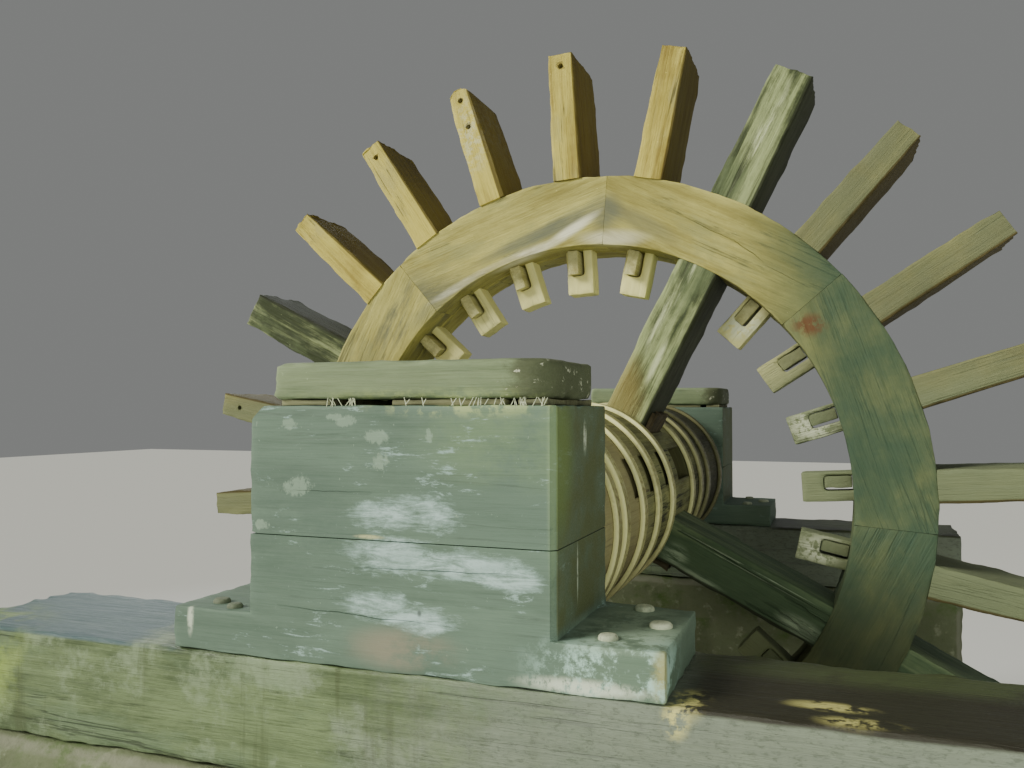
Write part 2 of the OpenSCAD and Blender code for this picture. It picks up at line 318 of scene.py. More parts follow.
def coursed_wall(name, middle, seed):
    dice = random.Random(seed)
    half = wall_length / 2 - joint_deep
    deep = wall_depth / 2 - joint_deep
    top = wall_height - joint_deep
    wall = block(name, (-half, middle - deep, 0), (half, middle + deep, top))
    for height in course_tops:
        bisect(wall, (0, 0, height), (0, 0, 1))
    beds = (0.0,) + course_tops + (top,)
    for course in range(len(beds) - 1):
        low, high = beds[course], beds[course + 1]
        x = -half + (0.16 if course % 2 else 0.34) + dice.uniform(-0.05, 0.05)
        while x < half - 0.14:
            for side in (-1, 1):
                cut = x + side * 0.07 * (1 if course % 2 else -1)
                bisect(
                    wall, (cut, 0, 0), (1, 0, 0),
                    lambda place, normal: low < place.z < high and normal.y * side > 0.5,
                )
            x += dice.uniform(0.26, 0.48)
        if course % 2:
            bisect(
                wall, (0, middle + dice.uniform(-0.05, 0.05), 0), (0, 1, 0),
                lambda place, normal: low < place.z < high and abs(normal.x) > 0.5,
            )
    for x in top_joints:
        bisect(wall, (x + dice.uniform(-0.04, 0.04), 0, 0), (1, 0, 0), lambda place, normal: normal.z > 0.5)
    select_faces(wall, lambda place, normal: normal.z > -0.5)
    bpy.ops.mesh.inset(thickness=joint_half, depth=joint_deep, use_individual=True)
    leave_edit()
    skin(wall, stone_voxel)
    place = points(wall)
    depth = np.minimum(half + joint_deep - abs(place[:, 0]), deep + joint_deep - abs(place[:, 1] - middle))
    depth = np.minimum(depth, top + joint_deep - place[:, 2])
    joints = np.clip((depth - 0.004) / 0.006, 0, 1)
    wear(wall, 0.16, 0.016, seed=seed, middle=0.62)
    wear(wall, 0.035, 0.008, seed=seed + 3, middle=0.6)
    paint(wall, "joint", joints)
    return wall


def masonry():
    stone = Finish("mossy masonry", gloss=0.3)
    place = stone.place()
    broad = stone.noise(place, (3.2, 3.2, 3.8), detail=4)
    grit = stone.noise(place, 60, detail=7, rough=0.75)
    pits = stone.noise(place, 22, detail=4)
    stone.colour = stone.mix(broad, (0.08, 0.095, 0.05), (0.20, 0.23, 0.13))
    stone.coat((0.34, 0.36, 0.25), stone.span(pits, 0.55, 0.75, 0, 0.7))
    stone.coat((0.23, 0.235, 0.17), stone.own("joint"), 0.8)
    moss = stone.noise(place, (5, 5, 7), detail=8, rough=0.7, shift=(3, 1, 7))
    stone.coat((0.07, 0.13, 0.025), stone.span(moss, 0.5, 0.68, 0, 0.75))
    stone.coat((0.03, 0.03, 0.022), stone.span(grit, 0.6, 0.8, 0, 0.7))
    stone.rough = stone.span(grit, 0.3, 0.7, 0.75, 0.95)
    stone.height = stone.share(pits, 1.4, grit)
    return stone.done(0.7, 0.006)


masonry_finish = masonry()
for side, name in sides:
    wall = coursed_wall(name + "_wall_stones", side * bearing_y, 5 + side)
    finish_with(wall, masonry_finish, "bearings")
    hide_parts(name + "_wall")


# Sill beams
# One squared oak beam lies along the top of each wall and carries a bearing. It is always
# damp: its front is grey-green with lime and algae, its top on the right black and wet.
sill_low = (-1.3, -1.46, 1.128)
sill_high = (1.3, -1.08, 1.38)


def across(low, high, side):
    # Turns a near piece's corners into those of the far bearing.
    if side < 0:
        return low, high
    return (low[0], -high[1], low[2]), (high[0], -low[1], high[2])


def choose_edges(piece, wanted):
    # Selects the edges that pass the test, and opens edit mode.
    leave_edit()
    pick(piece)
    bpy.ops.object.mode_set(mode="EDIT")
    bpy.ops.mesh.select_mode(type="EDGE")
    bpy.ops.mesh.select_all(action="DESELECT")
    leave_edit()
    for edge in piece.data.edges:
        edge.select = bool(wanted(edge))
    bpy.ops.object.mode_set(mode="EDIT")


def select_edges(piece, wanted):
    # The same, for a test of an edge's two ends.
    corners = piece.data.vertices
    choose_edges(piece, lambda edge: wanted(*(corners[i].co for i in edge.vertices)))


def sharp_keys(piece, spare):
    # The edges where two faces meet at an angle, apart from those that stay as sawn.
    mesh = piece.data
    facing = {}
    for face in mesh.polygons:
        for key in face.edge_keys:
            facing.setdefault(key, []).append(face)
    found = []
    for key, faces in facing.items():
        middle = (mesh.vertices[key[0]].co + mesh.vertices[key[1]].co) / 2
        if len(faces) == 2 and faces[0].normal.angle(faces[1].normal, 0) < math.radians(35):
            continue
        if spare is not None and spare(middle):
            continue
        found.append(key)
    return found


def mark_edges(piece, edges, reach):
    # Notes how near each point is to a worn edge, for the wear and for the finish.
    tree = kdtree.KDTree(len(edges))
    for index, place in enumerate(edges):
        tree.insert(place, index)
    tree.balance()
    group = piece.vertex_groups.new(name="edges")
    worn = np.zeros(len(piece.data.vertices), dtype=np.float32)
    for corner in piece.data.vertices:
        distance = tree.find(corner.co)[2]
        if distance < reach:
            worn[corner.index] = 1 - distance / reach
            group.add([corner.index], float(worn[corner.index]), "REPLACE")
    paint(piece, "worn", worn)


def net(piece, steps):
    # Cuts the faces of a squared timber into a fine net, one direction after another, and
    # in each direction first the short edges and then the longer ones.
    for axis, step in enumerate(steps):
        corners = piece.data.vertices
        spans = []
        for edge in piece.data.edges:
            run = corners[edge.vertices[1]].co - corners[edge.vertices[0]].co
            if run.length > 1.5 * step and abs(run[axis]) > 0.96 * run.length:
                spans.append(run.length)
        spans.sort()
        while spans:
            low = spans[0]
            high = [span for span in spans if span < low + 0.03][-1]
            spans = [span for span in spans if span >= low + 0.03]
            select_edges(
                piece,
                lambda a, b: abs((b - a)[axis]) > 0.96 * (b - a).length
                and low - 0.0001 < (b - a).length < high + 0.0001,
            )
            bpy.ops.mesh.subdivide(number_cuts=min(100, max(1, round(high / step) - 1)))
            leave_edit()


def dress(piece, steps, rounding=0.004, reach=0.02, spare=None):
    # Eases the sawn edges of a squared timber and gives it a net fine enough to wear.
    keys = sharp_keys(piece, spare)
    corners = piece.data.vertices
    edges = []
    for key in keys:
        a, b = corners[key[0]].co.copy(), corners[key[1]].co.copy()
        count = max(1, int((b - a).length / 0.006))
        edges += [a.lerp(b, step / count) for step in range(count + 1)]
    choose_edges(piece, lambda edge: edge.key in keys)
    bpy.ops.mesh.bevel(offset=rounding, segments=2, affect="EDGES")
    leave_edit()
    if isinstance(steps, float):
        skin(piece, steps)
    else:
        net(piece, steps)
    mark_edges(piece, edges, reach)


def age(piece, grain, depths, seed=0, tone=0.5):
    # Breaks chips from the edges, adds slow waves, lifts the grain's ridges and stores the
    # grain's own directions. The depths are those of the chips, the waves and the ridges.
    chips, waves, ridges = depths
    wear(piece, 0.045, chips, grain, 2.0, "edges", 1.0, seed, bite=2.6)
    wear(piece, 0.12, waves, grain, 3.0, "", 0.6, seed + 1)
    wear(piece, 0.018, ridges, grain, 12.0, "", 0.6, seed + 2)
    back = np.array(grain.inverted())
    local = points(piece) @ back[:3, :3].T + back[:3, 3]
    local += np.array([seed * 3.7 % 9, 0.11 + seed * 0.031 % 0.12, 0.07 + seed * 0.017 % 0.09])
    paint(piece, "grain", local, "FLOAT_VECTOR")
    paint(piece, "tone", np.full(len(piece.data.vertices), tone, dtype=np.float32))
    pick(piece)
    bpy.ops.object.shade_smooth_by_angle(angle=math.radians(40))


def oak(name, pale, deep, grey, gloss=0.3, grime=0.6, checks=0.6, span=0.09):
    # Weathered oak: clouds and streaks of colour, dark hairlines, fibres and drying checks.
    wood = Finish(name, gloss)
    grain = wood.own("grain", "Vector")
    fibre = wood.noise(grain, (9, 230, 230), detail=4, rough=0.7)
    hair = wood.noise(grain, (2.6, 62, 62), detail=8, rough=0.72, twist=0.3, shift=(5, 1, 3))
    streak = wood.noise(grain, (1.0, 19, 19), detail=9, rough=0.62, twist=0.5)
    cloud = wood.noise(grain, (3.4, 7, 7), detail=9, rough=0.68, twist=0.4, shift=(1, 7, 4))
    patch = wood.noise(grain, (1.9, 4.5, 4.5), detail=8, rough=0.68, shift=(2, 5, 1))
    check = wood.noise(grain, (0.7, 21, 21), rough=0.5, twist=0.2, shift=(7, 3, 2))
    speck = wood.noise(wood.place(), 95, detail=3)
    line = wood.span(wood.maths("ABSOLUTE", wood.maths("SUBTRACT", check, 0.5)), 0.020, 0.005)
    line = wood.times(line, wood.span(patch, 0.47, 0.58, 0, checks))
    body = wood.share(cloud, 0.35, wood.times(streak, 0.40))
    body = wood.share(hair, 0.25, body)
    body = wood.share(wood.maths("SUBTRACT", wood.own("tone"), 0.5), 0.22, body)
    wood.colour = wood.mix(wood.span(body, 0.5 - span, 0.5 + span), deep, pale)
    wood.coat(grey, wood.span(patch, 0.48, 0.60, 0, 0.65))
    wood.coat(tuple(c * 0.22 for c in deep), wood.span(hair, 0.55, 0.68, 0, grime))
    wood.coat(tuple(c * 0.35 for c in deep), wood.span(fibre, 0.54, 0.72, 0, grime * 0.8))
    wood.coat(tuple(min(1, c * 1.5 + 0.05) for c in pale), wood.span(speck, 0.70, 0.78, 0, 0.6))
    rubbed = wood.span(wood.own("worn"), 0.45, 1.0, 0, 0.5)
    wood.coat(tuple(min(1, c * 1.25 + 0.02) for c in pale), rubbed, wood.span(cloud, 0.40, 0.6))
    wood.coat((0.012, 0.011, 0.007), line)
    wood.rough = wood.span(fibre, 0.3, 0.7, 0.62, 0.9)
    relief = wood.share(hair, -1.2, wood.times(fibre, -0.7))
    relief = wood.share(streak, 0.6, relief)
    wood.height = wood.maths("SUBTRACT", relief, line)
    wood.streak = streak
    return wood


def along(axis, origin):
    # The grain's own directions: along the timber, across it and through it.
    axis = Vector(axis).normalized()
    side = Vector((0, 1, 0)) if abs(axis.y) < 0.9 else Vector((0, 0, 1))
    third = axis.cross(side).normalized()
    directions = Matrix((axis, side, third)).transposed()
    return Matrix.Translation(origin) @ directions.to_4x4()


def sill_oak():
    wood = oak(
        "damp sill oak", (0.185, 0.245, 0.115), (0.075, 0.105, 0.045), (0.145, 0.205, 0.115), gloss=0.4
    )
    place = wood.place()
    x = wood.at("X")
    lime = wood.noise(place, 7, detail=9, rough=0.72, shift=(1, 2, 3))
    wood.coat((0.27, 0.34, 0.21), wood.span(lime, 0.5, 0.66, 0, 0.7))
    drip = wood.noise(place, (22, 22, 1.3), detail=4)
    wood.coat((0.07, 0.09, 0.035), wood.span(drip, 0.54, 0.68, 0, 0.6))
    grit = wood.noise(place, (55, 55, 130), detail=7, rough=0.8, twist=0.4)
    bare = wood.span(wood.share(lime, 1.2, x), 0.35, 0.95)
    wood.coat((0.20, 0.225, 0.185), bare, 0.75)
    wood.coat((0.045, 0.055, 0.035), wood.span(grit, 0.50, 0.62), wood.share(bare, 0.30, 0.12))
    top = wood.span(wood.at("Z"), 1.366, 1.374)
    wet = wood.times(wood.span(x, 0.50, 0.58), top)
    wood.coat((0.017, 0.013, 0.006), wet, 0.94)
    # Painted reflection: a blue sheen on the top towards the left end.
    wood.coat((0.055, 0.105, 0.135), wood.span(wood.share(lime, 0.5, x), -0.30, -0.50), top, 0.8)
    behind = wood.span(wood.at("Y"), -1.26, -1.16)
    wood.coat((0.055, 0.070, 0.028), behind, wet, wood.span(lime, 0.30, 0.55))
    crust = wood.noise(place, 24, detail=8, rough=0.72, shift=(4, 1, 2))
    for spot, reach in (
        ((0.800, -1.36, 1.38), (0.10, 0.035, 0.02)),
        ((0.850, -1.43, 1.38), (0.09, 0.035, 0.03)),
        ((0.560, -1.41, 1.38), (0.05, 0.08, 0.05)),
        ((0.540, -1.46, 1.355), (0.035, 0.03, 0.045)),
    ):
        wood.coat((0.60, 0.56, 0.20), wood.span(crust, 0.44, 0.54), wood.near(spot, reach), 0.9)
    sheen = wood.near((-1.3, -1.46, 1.30), (0.35, 0.3, 0.20))
    wood.coat((0.30, 0.40, 0.06), wood.span(lime, 0.42, 0.6), sheen)
    wood.rough = wood.share(top, -0.35, wood.rough)
    return wood.done(0.8, 0.004)


sill_finish = sill_oak()
for side, name in sides:
    sill = block(name + "_sill_beam", *across(sill_low, sill_high, side))
    dress(sill, (0.026, 0.012, 0.011), rounding=0.006, reach=0.025)
    age(sill, along((1, 0, 0), (0, side * bearing_y, 1.25)), (0.010, 0.002, 0.0004), seed=11 + side)
    finish_with(sill, sill_finish, "bearings")
    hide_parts(name + "_sill")


# Lower bearing timbers
# The lower half of each bearing is one wide baulk. Its ends are sawn down to a foot that is
# pegged to the sill, and the middle stands up as the block with the gudgeon's round seat.
axle_height = 1.62
foot_low = (-0.584, -1.46, 1.38)
foot_high = (0.524, -1.098, 1.474)
block_left = -0.381
block_right = 0.317
block_seam = 1.645
block_top = 1.922
block_front = -1.46
block_back = -1.08
seam_gap = 0.001
corner_bevel = 0.012
left_bevel = 0.016
seat_radius = 0.0625
seat_outer = 1.346
seat_inner = 1.05


def cylinder(corners, radius, depth, middle, lying=True, ends="NGON"):
    # A round bar, lying along the axle or standing.
    turn = (math.radians(90) if lying else 0, 0, 0)
    bpy.ops.object.select_all(action="DESELECT")
    bpy.ops.mesh.primitive_cylinder_add(
        vertices=corners, radius=radius, depth=depth, location=middle, rotation=turn, end_fill_type=ends
    )
    return bpy.context.object


def cut_with(piece, cutter):
    cut = piece.modifiers.new("cut", "BOOLEAN")
    cut.object = cutter
    apply_modifier(piece, cut)
    bpy.data.objects.remove(cutter)


def drill(piece, radius, start, end, middle=(0, 0, axle_height)):
    # Bores a round hole that runs the way the axle does.
    cut_with(piece, cylinder(48, radius, abs(end - start), (middle[0], (start + end) / 2, middle[2])))


def upright_corner(piece, x, y, width, low, high):
    # Planes the bevel down an upright corner of a block.
    reach = width * math.sqrt(2)
    bpy.ops.object.select_all(action="DESELECT")
    turn = (0, 0, math.radians(45))
    size = (reach, reach, high - low)
    bpy.ops.mesh.primitive_cube_add(size=1, location=(x, y, (low + high) / 2), rotation=turn, scale=size)
    cut_with(piece, bpy.context.object)


def crack(piece, start, end, width, depth, seed):
    # Opens a drying crack: a thin ragged wedge is driven into the front and taken out again.
    steps = 24
    start, end = Vector(start), Vector(end)
    line = end - start
    out = Vector((0, -1, 0))
    side = out.cross(line.normalized()).normalized()
    dice = random.Random(seed)
    bpy.ops.object.select_all(action="DESELECT")
    bpy.ops.mesh.primitive_cube_add(size=1)
    wedge = bpy.context.object
    select_edges(wedge, lambda a, b: abs((b - a).x) > 0.5)
    bpy.ops.mesh.subdivide(number_cuts=steps - 1)
    leave_edit()
    ragged = [0.0]
    for step in range(steps):
        ragged.append(ragged[-1] * 0.8 + dice.uniform(-1, 1) * width * 0.9)
    for corner in wedge.data.vertices:
        t = corner.co.x + 0.5
        open_here = max(0.04, math.sin(math.pi * min(1, max(0, t)))) ** 0.7
        depth_here = 0.02 if corner.co.z > 0 else -depth * open_here
        thin = width * open_here * (0.5 if corner.co.z > 0 else 0.12)
        sway = ragged[round(t * steps)] * math.sin(math.pi * t)
        corner.co = start + line * t + side * (sway + math.copysign(thin, corner.co.y)) + out * depth_here
    pick(wedge)
    bpy.ops.object.mode_set(mode="EDIT")
    bpy.ops.mesh.select_all(action="SELECT")
    bpy.ops.mesh.normals_make_consistent(inside=False)
    leave_edit()
    cut_with(piece, wedge)


def block_oak():
    wood = oak(
        "scuffed block oak", (0.150, 0.222, 0.160), (0.066, 0.105, 0.072), (0.112, 0.170, 0.125),
        gloss=0.45, grime=0.22, checks=0.3, span=0.17,
    )
    place = wood.place()
    brush = wood.noise(place, (11, 11, 58), detail=9, rough=0.78, twist=0.5)
    dabs = wood.noise(place, 20, rough=0.7)
    ragged = wood.noise(place, (70, 70, 46), detail=6, rough=0.7, shift=(1, 2, 2))
    smudge = wood.noise(place, (6, 6, 8), detail=8, rough=0.72, shift=(3, 3, 1))
    crust = wood.noise(place, 16, detail=9, rough=0.75)
    faint = wood.span(smudge, 0.62, 0.40)

    def front(x, z, wide, high, deep=0.2):
        return wood.near((x, block_front, z), (wide, deep, high))

    wood.coat((0.108, 0.160, 0.125), 0.30)
    wood.coat((0.155, 0.230, 0.120), front(0.22, 1.86, 0.26, 0.14), wood.span(smudge, 0.35, 0.6), 0.7)
    wood.coat((0.085, 0.130, 0.100), front(-0.27, 1.68, 0.24, 0.18), faint, 0.6)
    # Pale scuffs with horizontal streaks across the middle of the front; their pale blue-white is partly a
    # painted glare.
    for pale_streak in (
        (0.00, 1.700, 0.20, 0.060),
        (-0.04, 1.622, 0.17, 0.060),
        (0.12, 1.608, 0.22, 0.042),
        (0.22, 1.585, 0.12, 0.036),
        (-0.07, 1.512, 0.12, 0.055),
        (0.03, 1.490, 0.14, 0.045),
    ):
        scuff_and_glare = wood.share(smudge, 0.55, wood.share(front(*pale_streak), 0.24, wood.times(brush, 0.75)))
        wood.coat((0.270, 0.385, 0.350), wood.span(scuff_and_glare, 0.73, 0.86, 0, 0.6))
        wood.coat((0.460, 0.600, 0.590), wood.span(scuff_and_glare, 0.82, 0.97, 0, 0.75))
    wood.coat((0.27, 0.23, 0.16), front(-0.01, 1.43, 0.17, 0.06), faint, 0.65)
    for dab in (
        (-0.139, 1.890, 0.040, 0.022),
        (-0.163, 1.898, 0.040, 0.013),
        (-0.066, 1.858, 0.050, 0.025),
        (-0.060, 1.806, 0.032, 0.030),
        (-0.283, 1.881, 0.034, 0.022),
        (0.051, 1.861, 0.016, 0.024),
        (-0.260, 1.750, 0.060, 0.035),
        (-0.350, 1.665, 0.030, 0.020),
    ):
        dabbed = wood.share(front(*dab, 0.05), 0.34, ragged)
        wood.coat((0.23, 0.315, 0.235), wood.span(dabbed, 0.66, 0.80, 0, 0.75))
    knot = front(0.03, 1.505, 0.007, 0.010, 0.05)
    wood.coat((0.07, 0.09, 0.08), knot, 0.8)
    splinter = front(-0.085, 1.652, 0.045, 0.006, 0.05)
    wood.coat((0.50, 0.50, 0.26), splinter, wood.span(ragged, 0.35, 0.5), 0.8)
    flank = wood.times(wood.span(wood.at("X"), 0.3140, 0.3162), wood.span(wood.at("Z"), 1.472, 1.50))
    algae = wood.near((0.317, -1.44, 1.82), (0.1, 0.13, 0.22))
    wood.coat((0.095, 0.110, 0.040), flank, wood.span(smudge, 0.62, 0.38, 0.45, 0.95))
    wood.coat((0.16, 0.225, 0.045), flank, algae, 0.6)
    arris = wood.near((0.311, -1.456, 1.80), (0.016, 0.014, 0.36))
    wood.coat((0.24, 0.335, 0.165), arris, wood.span(smudge, 0.34, 0.55), 0.55)
    fringe = front(0.13, 1.925, 0.30, 0.035, 0.1)
    wood.coat((0.40, 0.47, 0.20), fringe, wood.span(dabs, 0.44, 0.56), 0.7)
    right = wood.near((0.45, -1.46, 1.43), (0.24, 0.22, 0.09))
    wood.coat((0.15, 0.215, 0.145), wood.span(wood.at("X"), 0.30, 0.40), 0.4)
    wood.coat((0.07, 0.12, 0.075), wood.span(crust, 0.62, 0.40), right, 0.12)
    wood.coat((0.40, 0.60, 0.52), wood.span(crust, 0.47, 0.58), right)
    # Painted light: the top of the foot beside the block, which the block shades, is lightened in mottled
    # patches.
    foot_top_light = wood.near((0.43, -1.30, 1.474), (0.16, 0.26, 0.03))
    wood.coat((0.30, 0.39, 0.28), foot_top_light, wood.span(crust, 0.38, 0.58), 0.8)
    for spot, reach, strength in (
        ((0.317, -1.255, 1.855), (0.03, 0.018, 0.045), 0.9),
        ((0.317, -1.313, 1.58), (0.03, 0.006, 0.075), 0.8),
        ((-0.538, -1.46, 1.45), (0.012, 0.02, 0.05), 0.8),
        ((0.37, -1.46, 1.395), (0.17, 0.02, 0.022), 0.9),
    ):
        wood.coat((0.60, 0.66, 0.52), wood.near(spot, reach), wood.span(ragged, 0.36, 0.52), strength)
    bark = front(0.522, 1.43, 0.030, 0.08, 0.03)
    wood.coat((0.34, 0.33, 0.13), bark, wood.span(dabs, 0.34, 0.5), 0.9)
    return wood.done(0.3, 0.002)


def left_as_sawn(place):
    at_foot = abs(place.z - foot_high[2]) < 0.001 and abs(place.x) < 0.4
    return at_foot or place.z > block_seam - 0.002


block_finish = block_oak()
for side, name in sides:
    lower = block(name + "_lower_bearing", *across(foot_low, foot_high, side))
    for x in (block_left, block_right):
        bisect(lower, (x, 0, 0), (1, 0, 0))
    select_faces(lower, lambda place, normal: normal.z > 0.5 and block_left < place.x < block_right)
    bpy.ops.mesh.extrude_region_move(
        TRANSFORM_OT_translate={"value": (0, 0, block_seam - seam_gap - foot_high[2])}
    )
    select_faces(lower, lambda place, normal: normal.y * side < -0.5 and place.z > foot_high[2])
    bpy.ops.transform.translate(value=(0, -side * (block_back - foot_high[1]), 0))
    leave_edit()
    dress(lower, (0.020, 0.014, 0.009), spare=left_as_sawn)
    upper_low = (block_left, block_front, block_seam + seam_gap)
    upper_high = (block_right, block_back, block_top)
    upper = block(name + "_upper_bearing", *across(upper_low, upper_high, side))
    dress(upper, (0.018, 0.014, 0.009), spare=lambda place: place.z < block_seam + 0.002)
    corner = (block_left + left_bevel, 0, block_top - left_bevel)
    bisect(upper, corner, (-1, 0, 1), clear_outer=True, use_fill=True)
    leave_edit()
    for piece, seed in ((lower, 31), (upper, 35)):
        drill(piece, seat_radius, side * seat_outer, side * seat_inner)
        upright_corner(piece, block_right, -block_front * side, corner_bevel, foot_high[2], block_top + 0.01)
        age(piece, along((1, 0, 0), (0, side * bearing_y, 1.7)), (0.004, 0.0006, 0.0001), seed=seed + side)
    if side < 0:
        crack(lower, (-0.308, -1.459, 1.497), (0.10, -1.459, 1.484), 0.0018, 0.04, 4)
        crack(lower, (-0.12, -1.459, 1.588), (0.25, -1.459, 1.597), 0.0018, 0.04, 8)
        crack(upper, (-0.30, -1.459, 1.742), (-0.08, -1.459, 1.744), 0.0012, 0.03, 9)
    finish_with(lower, block_finish, "bearings")
    finish_with(upper, block_finish, "bearings")
    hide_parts(name + "_lower_block")
    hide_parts(name + "_foot")
    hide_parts(name + "_upper_block")


# Foot pegs
# Oak pegs with domed heads hold the foot of the lower baulk to the sill. Lime has settled
# on the right-hand ones and turned them white.
peg_places = (
    (0.418, -1.137, 0.022),
    (0.480, -1.273, 0.024),
    (0.403, -1.400, 0.020),
    (-0.5025, -1.397, 0.020),
    (-0.442, -1.428, 0.018),
)
peg_middle = 1.469
peg_top = 1.484
peg_long = 0.03
peg_wood = oak(
    "limed peg oak", (0.60, 0.64, 0.46), (0.30, 0.35, 0.24), (0.42, 0.47, 0.34), gloss=0.35, checks=0.0
)
peg_wood.coat((0.07, 0.09, 0.055), peg_wood.span(peg_wood.at("X"), 0.1, -0.1, 0, 0.85))
peg_finish = peg_wood.done(0.5, 0.002)


def bevel_edges(piece, wanted, width, segments):
    select_edges(piece, wanted)
    bpy.ops.mesh.bevel(offset=width, segments=segments, affect="EDGES")
    leave_edit()


def joined(parts, name):
    pick(parts[0])
    for part in parts:
        part.select_set(True)
    bpy.ops.object.join()
    parts[0].name = name
    return parts[0]


for side, name in sides:
    pegs = []
    for number, (x, y, radius) in enumerate(peg_places):
        cylinder(20, radius, peg_long, (x, -side * y, peg_middle), lying=False)
        peg = settled("peg")
        bevel_edges(peg, lambda a, b: min(a.z, b.z) > 1.48, 0.008, 4)
        mark_edges(peg, [Vector((x, -side * y, peg_top))], 0.02)
        age(peg, along((0, 0, 1), (x, -side * y, 1.47)), (0.002, 0.002, 0.0005), seed=91 + number)
        pegs.append(peg)
    finish_with(joined(pegs, name + "_foot_pegs"), peg_finish, "bearings")


# Cap and packing
# A thick cap lies over the upper block on thin strips of wood that level it, so that a
# dark slit shows under it. Its right-hand corners are worn round.
cap_low = (-0.3225, -1.46, 1.935)
cap_high = (0.3085, -1.11, 2.015)
cap_round = 0.07
strip_low = 1.9225
strip_high = 1.9345
strip_places = ((-0.3085, 0.120), (-0.0417, 0.250), (0.2345, 0.060))

packing_wood = oak("packing wood", (0.22, 0.22, 0.12), (0.06, 0.06, 0.03), (0.16, 0.17, 0.10))
packing_finish = packing_wood.done(0.5, 0.003)
cap_wood = oak(
    "worn cap oak", (0.23, 0.285, 0.155), (0.125, 0.165, 0.088), (0.175, 0.24, 0.14),
    gloss=0.4, grime=0.3, checks=0.2, span=0.17,
)
cap_spots = cap_wood.noise(cap_wood.place(), (30, 30, 45), detail=6, rough=0.7)
cap_end = cap_wood.span(cap_wood.share(cap_spots, 0.12, cap_wood.at("X")), 0.26, 0.31)
cap_wood.coat((0.060, 0.065, 0.030), cap_end, 0.75)
cap_wood.coat((0.50, 0.52, 0.38), cap_end, cap_wood.span(cap_spots, 0.60, 0.66))
cap_low_edge = cap_wood.near((0.05, -1.46, 1.935), (0.45, 0.05, 0.03))
cap_wood.coat((0.34, 0.41, 0.16), cap_low_edge, cap_wood.span(cap_spots, 0.42, 0.6, 0, 0.5))
cap_finish = cap_wood.done(0.5, 0.003)
for side, name in sides:
    cap = block(name + "_cap_timber", *across(cap_low, cap_high, side))
    bevel_edges(cap, lambda a, b: a.x > 0.3 and b.x > 0.3 and (a.y - b.y) ** 2 < 1e-6, cap_round, 8)
    dress(cap, 0.008, rounding=0.008, reach=0.025)
    age(cap, along((1, 0, 0), (0, side * bearing_y, 1.97)), (0.008, 0.002, 0.0003), seed=41 + side)
    finish_with(cap, cap_finish, "bearings")
    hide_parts(name + "_cap")
    strips = []
    for number, (left, width) in enumerate(strip_places):
        low, high = across((left, -1.446, strip_low), (left + width, -1.124, strip_high), side)
        strip = block(name + "_packing_strips", low, high)
        dress(strip, (0.02, 0.02, 0.006), rounding=0.001, reach=0.006)
        age(strip, along((1, 0, 0), (left, side * bearing_y, 1.93)), (0.004, 0.001, 0.0004), seed=45 + number)
        strips.append(strip)
    strips = joined(strips, name + "_packing_strips")
    finish_with(strips, packing_finish, "bearings")
    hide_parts(name + "_packing")


# Cobwebs
# Old cobweb threads hang in the slit between the upper block and its cap, grey with
# dust. Each is a hair-thin rod, copied from one and leant over a little.
thread_count = 46
dusty = oak("dusty thread", (0.62, 0.66, 0.48), (0.40, 0.44, 0.30), (0.50, 0.54, 0.38), checks=0.0)
thread_finish = dusty.done(0.2, 0.001)


def copied(master):
    # A copy of a piece with its own mesh.
    copy = master.copy()
    copy.data = master.data.copy()
    bpy.context.scene.collection.objects.link(copy)
    return copy


thread_master = cylinder(6, 0.0009, 0.020, (0, 0, 0), lying=False)
dice = random.Random(17)
threads = []
for number in range(thread_count):
    thread = copied(thread_master)
    x = dice.choice((dice.uniform(-0.19, -0.12), dice.uniform(-0.02, 0.20), dice.uniform(0.20, 0.30)))
    thread.location = (x, -1.456 - dice.uniform(0, 0.003), 1.929)
    thread.rotation_euler = (dice.uniform(-0.1, 0.1), dice.uniform(-0.7, 0.7), 0)
    thread.scale = (1, 1, dice.uniform(0.7, 1.0))
    pick(thread)
    threads.append(settled("cobweb_threads"))
threads = joined(threads, "cobweb_threads")
mark_edges(threads, [Vector((0, 0, 0))], 0.001)
age(threads, along((1, 0, 0), (0, -1.45, 1.93)), (0.0001, 0.0004, 0.0001), seed=97)
finish_with(threads, thread_finish, "bearings")
bpy.data.objects.remove(thread_master)


# Gudgeons
# A forged iron pin is driven into each end of the axle and turns in the blocks. It shows
# only in the gap between the axle and the bearing, black with grease and rust.
def iron(name, pale, deep, rust, metal):
    plate = Finish(name, gloss=0.5)
    place = plate.place()
    broad = plate.noise(place, 9, detail=6)
    scale = plate.noise(place, 70, detail=8, rough=0.7)
    plate.colour = plate.mix(plate.span(broad, 0.35, 0.65), deep, pale)
    plate.coat(rust, plate.span(scale, 0.48, 0.66, 0, 0.8))
    plate.rough = plate.span(scale, 0.35, 0.65, 0.35, 0.75)
    plate.height = plate.share(broad, 0.5, scale)
    plate.shader.inputs["Metallic"].default_value = metal
    return plate


pin_iron = iron("greased pin iron", (0.10, 0.085, 0.07), (0.03, 0.025, 0.02), (0.16, 0.06, 0.02), 0.7)
pin_finish = pin_iron.done(0.4, 0.002)
for name in ("near_gudgeon", "far_gudgeon"):
    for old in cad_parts[name].material_slots:
        old.material = pin_finish


# Axle
# The axle is one round oak log, mortised right through for the two crossed arms and with
# empty mortises from earlier arms.
wheel_axis = Vector((0, 0, axle_height))
axle_radius = 0.305
axle_half = 1.045
turn_at_rest = math.radians(-3.2)
pitch = math.radians(15)
places_round = 24
arm_places = (2, 8, 14, 20)
arm_hole = (0.0733, 0.1353)
wedge_hole_low = (0.07, -0.1003, axle_height + 0.1817)
wedge_hole_high = (0.0996, 0.1003, 2.1)
empty_half = 0.056
empty_floor = axle_height + 0.165
empty_mortises = ((-0.016, 0.210), (-0.251, -0.170), (-0.491, -0.410), (-0.701, -0.620))
empty_place = 5 - 2 / 15


